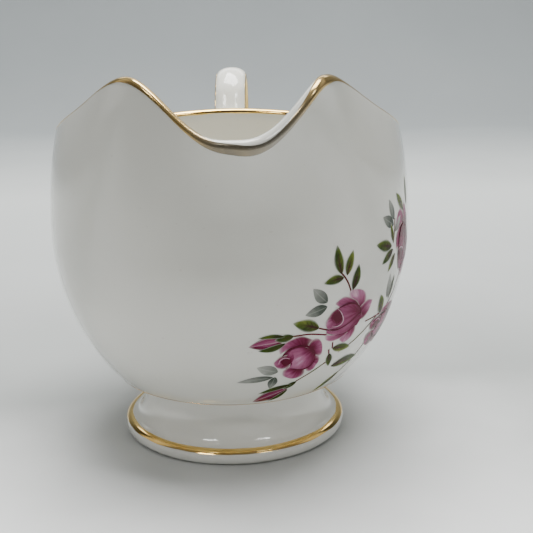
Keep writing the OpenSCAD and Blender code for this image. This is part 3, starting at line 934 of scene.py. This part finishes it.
def full_rose(chart, deepen=0.0):
    """A rose seen a little from above: a large light cup with dark outer folds."""
    p = Print(deepen)
    # a dark base under all the petals
    p.petal(chart, [(-.8, -.1), (-.5, .3), (.1, .5), (.6, .3), (.7, 0)],
            [(-.8, -.4), (-.4, -.5), (.1, -.5), (.55, -.4), (.7, -.1)],
            root=(0, 0), light=(-.9, -.3), low=.2, high=.4, fade=0)
    # outer petals
    p.petal(chart, [(-.78, .14), (-.4, .38), (.02, .48), (.46, .42)],
            [(-.8, .34), (-.44, .68), (.1, .91), (.56, .78)],
            root=(.2, .42), light=(-.6, .62), low=.1, high=.85, rim=.08)
    p.petal(chart, [(.3, .44), (.5, .74), (.78, .82), (.96, .66)],
            [(.52, .2), (.74, .08), (.99, .16), (1.0, .5)],
            root=(.46, .4), light=(.96, .5), low=.02, high=.9, rim=.08)
    p.petal(chart, [(.56, .16), (.84, .1), (.93, -.1), (.8, -.34)],
            [(.38, -.2), (.34, -.52), (.54, -.6), (.76, -.46)],
            root=(.5, -.1), light=(.82, -.38), low=.15, high=.9, rim=.1)
    p.petal(chart, [(-.42, -.36), (-.68, -.58), (-.68, -.8), (-.42, -.92)],
            [(.28, -.42), (.28, -.7), (.06, -.88), (-.3, -.95)],
            root=(.02, -.46), light=(-.4, -.86), low=.1, high=.9, rim=.08)
    p.petal(chart, [(-.36, .18), (-.7, .08), (-.93, -.1), (-1.05, -.24)],
            [(-.38, -.34), (-.66, -.48), (-.9, -.46), (-1.05, -.32)],
            root=(-.52, -.14), light=(-.98, -.3), low=.1, high=.85, rim=.08)
    # the cup, its inner fold and its dark heart
    p.petal(chart, [(-.02, .48), (-.36, .3), (-.42, .02), (-.3, -.24), (-.44, -.44)],
            [(.18, .48), (.62, .34), (.7, -.02), (.46, -.38), (-.1, -.5)],
            root=(.66, .4), light=(.08, -.1), low=-.05, high=1.0, fade=0)
    p.petal(chart, [(-.5, .1), (-.6, -.02), (-.5, -.1), (-.36, -.2)],
            [(-.44, .28), (-.3, .22), (-.22, .04), (-.3, -.16)],
            root=(-.5, -.1), light=(-.3, .2), low=.1, high=.7, fade=0)
    p.petal(chart, [(-.42, -.02), (-.64, -.06), (-.76, -.2), (-.64, -.34)],
            [(-.38, -.04), (-.36, -.16), (-.42, -.27), (-.6, -.34)],
            root=(-.52, -.18), light=(-.9, -.3), low=-.25, high=.35, fade=0)
    # dark creases, and the heart's light edge
    p.ribbon([(-.7, .06), (-.4, .36), (0, .5), (.34, .5), (.6, .34), (.7, .08)],
             .045, dict(tone=.0), chart)
    p.ribbon([(.7, .1), (.66, -.14), (.46, -.38), (.1, -.5), (-.4, -.45)],
             .032, dict(tone=.08), chart)
    p.ribbon([(-.4, -.02), (-.62, 0), (-.8, -.12), (-.86, -.28)],
             .022, dict(tone=.9), chart)
    return p


def bud(base, tip, width, sepals, light, dark):
    """A closed bud with a paler streak, held by green sepals."""
    p = Print()
    p.blade(base, tip, width, full=0.75, ink=lambda u, v: dict(
        tone=mix(dark, light, math.exp(-(((v - 0.15) / 0.4) ** 2)) * sin(180 * min(1, u * 1.1)))))
    p.blade(base, tip, width * 0.42, bend=-width * 0.16, full=0.8, ink=lambda u, v: dict(
        tone=mix(dark + 0.15, light + 0.2, (1 + v) / 2)))
    for start, end, broad, bend in sepals:
        p.blade(start, end, broad, bend, ink=dict(tone=0.32, green=1.0, veined=0.5))
    return p


def spray():
    """The four roses and the two buds of the print."""
    # painted shade: each rose's print is darkened by its last number, most on the upper and side roses
    # that turn away at the right
    roses = [
        ("rose_middle", open_rose, rose_chart((40.1, 36.7), 7.4, 6.2, -1.3, -1.5), 0.03),
        ("rose_lower", full_rose, rose_chart((23.0, 28.7), 5.8, 6.4, -1.2, -1.1), 0.1),
        ("rose_upper", open_rose, rose_chart((68.0, 50.5), 6.8, 6.8, 0, 0, 55), 0.25),
        ("rose_side", full_rose, rose_chart((63.5, 30.5), 6.8, 6.4, 0, 0, -35), 0.3),
    ]
    for node, draw, chart, deepen in roses:
        draw(chart, deepen).finish("print_" + node, node, "rose_enamel", ROSE)
    high = bud((16.4, 34.1), (5.6, 33.0), 3.5, [
        ((19.6, 34.7), (13.6, 34.2), 2.0, 0.0), ((16.8, 34.9), (8.4, 35.0), 1.1, -0.3),
        ((17.2, 33.2), (8.6, 31.8), 1.6, 0.4)], light=0.5, dark=0.02)
    high.finish("print_bud_high", "bud_high", "crimson_enamel", BUD)
    low = bud((22.2, 20.2), (8.6, 16.6), 3.8, [
        ((25.0, 21.8), (20.2, 20.0), 1.6, 0.0), ((23.4, 21.1), (10.2, 19.3), 1.4, -0.3),
        ((22.4, 19.6), (15.4, 16.5), 1.2, 0.4)], light=0.34, dark=-0.12)
    low.finish("print_bud_low", "bud_low", "crimson_enamel", BUD)


# each leaf as (stalk end, tip, width, bend)
GREEN_LEAVES = [
    ((33.9, 47.4), (32.0, 53.9), 2.5, 0.2), ((35.9, 46.9), (38.0, 52.2), 2.3, 0.1),
    ((34.8, 46.5), (27.9, 46.0), 2.2, -0.2), ((38.8, 43.2), (40.5, 48.8), 2.5, -0.2),
    ((28.0, 35.7), (18.9, 37.9), 3.1, -0.1), ((35.6, 29.5), (44.6, 28.4), 2.3, 0.0),
    ((34.9, 28.2), (37.4, 24.3), 1.8, 0.0), ((39.0, 24.0), (53.6, 24.2), 2.8, 0.3),
    ((47.4, 21.0), (38.0, 16.4), 1.8, 0.2), ((58.2, 34.2), (54.4, 39.4), 2.8, 0.0),
    ((61.5, 37.0), (62.4, 42.6), 1.8, 0.0),
    ((71.8, 57.6), (71.6, 64.2), 1.8, 0.0), ((67.2, 57.0), (61.2, 61.6), 2.3, 0.0),
    ((57.2, 50.2), (48.2, 51.8), 2.8, 0.0), ((58.2, 49.4), (51.8, 46.9), 2.3, 0.0),
    ((60.0, 48.2), (56.2, 44.4), 2.0, 0.0), ((58.4, 51.0), (56.4, 55.4), 1.5, 0.0),
]
GREY_LEAVES = [
    ((29.6, 41.6), (24.5, 45.2), 2.6, 0.1), ((29.8, 40.6), (22.6, 39.4), 2.6, 0.1),
    ((16.2, 25.6), (8.6, 27.4), 2.7, 0.1), ((14.8, 24.2), (2.0, 23.4), 1.7, -0.1),
    ((15.6, 24.2), (14.4, 20.8), 2.2, 0.0), ((60.2, 37.6), (58.6, 43.6), 2.2, 0.0),
    ((58.8, 56.0), (55.8, 60.8), 2.2, 0.0), ((58.4, 54.8), (51.8, 57.4), 2.6, 0.0),
    ((59.6, 53.2), (64.0, 56.2), 1.8, 0.0),
]
STEM_HALF = 0.2
STEMS = [
    [(33.9, 47.6), (35.4, 46.4), (36.9, 44.8), (38.4, 42.6)],
    [(19.4, 34.7), (25, 34.6), (31.4, 33.6)], [(24.6, 21.9), (30, 23.8), (36.4, 26.3)],
    [(39.4, 27.8), (45, 29.4), (52, 32.4), (57.4, 35.0)],
    [(28.0, 35.7), (32.0, 34.6)], [(48.6, 34.0), (53, 34.1), (58, 34.2)],
    [(60.5, 34.8), (65, 37.6), (69.2, 44.4)], [(58.4, 50.8), (59.0, 52.8), (59.4, 56.2)],
    [(35.6, 29.5), (34.9, 31.2)], [(34.9, 28.2), (34.2, 29.4)],
    [(47.4, 21.0), (53.2, 25.2), (58.2, 31.4)],
]


def foliage():
    """Stems under grey leaves under green ones; each leaf has its own lightness."""
    green, grey, stems = Print(), Print(), Print()
    for route in STEMS:
        stems.layer = 0
        stems.ribbon([Vector(p) for p in route], STEM_HALF, tapered=False)
    for k, (base, tip, width, bend) in enumerate(GREY_LEAVES):
        grey.layer = 1
        faint = 0.62 + 0.12 * math.sin(k * 2.1)
        grey.blade(base, tip, width, bend, ink=lambda u, v: dict(
            tone=0.35 + 0.3 * u + 0.1 * v, cover=faint + 0.35 * (1 - u)))
    for k, (base, tip, width, bend) in enumerate(GREEN_LEAVES):
        green.layer = 2
        bright = 0.46 + 0.14 * math.sin(k * 1.7)
        green.blade(base, tip, width, bend, ink=lambda u, v: dict(
            tone=bright - 0.16 * v, veined=0.95))
    stems.finish("print_stems", "stems", "stem_enamel", STEM)
    grey.finish("print_leaves_grey", "leaves_grey", "grey_enamel", SHADE)
    green.finish("print_leaves_green", "leaves_green", "green_enamel", LEAF)


spray()
foliage()

# ---------------------------------------------------------------- stage, light and camera

CAMERA_AT = Vector((8.5, -236, 104))
PITCH = 15.2
ROLL = -0.8
YAW = -1.0
SENSOR = 36.0
FOCAL_IN_WIDTHS = 1.8762        # focal length as a multiple of the frame's width
MIDDLE = (0, 0, 0.045)          # what the lamps are aimed at


def camera():
    data = bpy.data.cameras.new("camera")
    data.sensor_width = SENSOR
    data.lens = SENSOR * FOCAL_IN_WIDTHS
    data.clip_start = 0.01
    piece = bpy.data.objects.new("camera", data)
    bpy.context.scene.collection.objects.link(piece)
    turn = Matrix.Rotation(math.radians(YAW), 4, "Z")
    pitch = Matrix.Rotation(math.radians(90 - PITCH), 4, "X")
    roll = Matrix.Rotation(math.radians(ROLL), 4, "Z")
    piece.matrix_world = turn @ Matrix.Translation(CAMERA_AT * MM) @ pitch @ roll
    bpy.context.scene.camera = piece


def area(name, size, energy, place, target=MIDDLE):
    """A rectangular lamp that is aimed at a target."""
    data = bpy.data.lights.new(name, "AREA")
    data.shape = "RECTANGLE"
    data.size, data.size_y = size
    data.energy = energy
    lamp = bpy.data.objects.new(name, data)
    bpy.context.scene.collection.objects.link(lamp)
    lamp.location = place
    lamp.rotation_euler = (Vector(target) - Vector(place)).to_track_quat("-Z", "Y").to_euler()


SWEEP_FRONT = -1.2
SWEEP_REACH = 0.55              # where the floor starts to curve up
SWEEP_BEND = 0.25
SWEEP_HIGH = 1.2
SWEEP_HALF = 1.6
# painted light: the bright pool of paper around the jug
LIT_POOL_TONE = (0.74, 0.75, 0.74)


def backdrop():
    """A pale sweep: a floor that curves up into a wall behind, with painted light and shade by its
    depth: a bright pool around the jug, dark towards the camera, darker just behind the jug and on the
    wall.
    """
    n = Nodes("sweep")
    split = n.add("SeparateXYZ")
    n.link(n.place(), split.inputs[0])
    depth = n.math("ADD", split.outputs[1], n.math("MULTIPLY", n.noise(9, 4), 0.12))
    share = n.math("DIVIDE", n.math("ADD", depth, 0.2), 1.1)
    # painted light and shade: the paper's lightness in bands by depth, blurred by noise
    painted_light_paper = n.ramp(share, (0.05, (0.15, 0.15, 0.145)), (0.155, LIT_POOL_TONE), (0.19, LIT_POOL_TONE),
                   (0.255, (0.35, 0.365, 0.355)), (0.364, (0.50, 0.52, 0.51)),
                   (0.51, (0.58, 0.605, 0.59)), (0.745, (0.32, 0.345, 0.35)),
                   (1.0, (0.215, 0.235, 0.24)))
    n.set(Base_Color=painted_light_paper, Roughness=0.75)
    line = [(SWEEP_FRONT, 0), (SWEEP_REACH, 0)]
    line += [(SWEEP_REACH + SWEEP_BEND * sin(t), SWEEP_BEND * (1 - cos(t))) for t in range(6, 91, 6)]
    line.append((SWEEP_REACH + SWEEP_BEND, SWEEP_HIGH))
    points = [Vector((x, y, z)) for x in (-SWEEP_HALF, SWEEP_HALF) for y, z in line]
    m = len(line)
    faces = [(i, i + m, i + m + 1, i + 1) for i in range(m - 1)]
    mesh = bpy.data.meshes.new("sweep")
    mesh.from_pydata(points, [], faces)
    mesh.polygons.foreach_set("use_smooth", [True] * len(faces))
    mesh.materials.append(n.material)
    piece = bpy.data.objects.new("sweep", mesh)
    bpy.context.scene.collection.objects.link(piece)


SKY_STRENGTH = 0.8
SKY_BY_HEIGHT = ((0.0, 0.30), (0.35, 0.52), (0.8, 1.0))
SKY_BY_DEPTH = ((0.1, 0.15), (0.5, 0.31), (0.9, 1.0))


def world():
    """A soft room: bright above and behind, dark on the camera's side."""
    sky = bpy.data.worlds.new("room")
    sky.use_nodes = True
    tree = sky.node_tree

    def node(kind, **settings):
        made = tree.nodes.new("ShaderNode" + kind)
        for key, value in settings.items():
            setattr(made, key, value)
        return made

    split = node("SeparateXYZ")
    tree.links.new(node("TexCoord").outputs["Generated"], split.inputs[0])

    def shade(axis, scale, shift, stops):
        """Light levels along an axis of the direction, once it is scaled and shifted."""
        lift = node("Math", operation="MULTIPLY_ADD")
        tree.links.new(split.outputs[axis], lift.inputs[0])
        lift.inputs[1].default_value = scale
        lift.inputs[2].default_value = shift
        ramp = node("ValToRGB")
        elements = ramp.color_ramp.elements
        while len(elements) < len(stops):
            elements.new(0.5)
        for element, (place, level) in zip(elements, stops):
            element.position = place
            element.color = (level, level, level * 0.98, 1)
        tree.links.new(lift.outputs[0], ramp.inputs[0])
        return ramp.outputs[0]

    both = node("Mix", data_type="RGBA", blend_type="MULTIPLY")
    both.inputs[0].default_value = 1.0
    tree.links.new(shade("Z", 1.0, 0.0, SKY_BY_HEIGHT), both.inputs[6])
    tree.links.new(shade("Y", 0.5, 0.5, SKY_BY_DEPTH), both.inputs[7])
    background = tree.nodes["Background"]
    tree.links.new(both.outputs[2], background.inputs["Color"])
    background.inputs["Strength"].default_value = SKY_STRENGTH
    bpy.context.scene.world = sky


camera()
backdrop()
world()
area("top", (0.7, 0.5), 18, (0.05, 0.08, 0.95))
area("bulb_left", (0.22, 0.1), 1.15, (-0.36, -0.56, 0.6))
area("bulb_right", (0.2, 0.1), 0.95, (0.4, -0.5, 0.6))
area("behind", (1.2, 0.4), 4, (0.0, 0.75, 0.6), target=(0, 0.45, 0))
area("left", (0.4, 0.7), 0.35, (-0.8, 0.1, 0.4))
area("right", (0.4, 0.7), 0.3, (0.8, 0.1, 0.4))
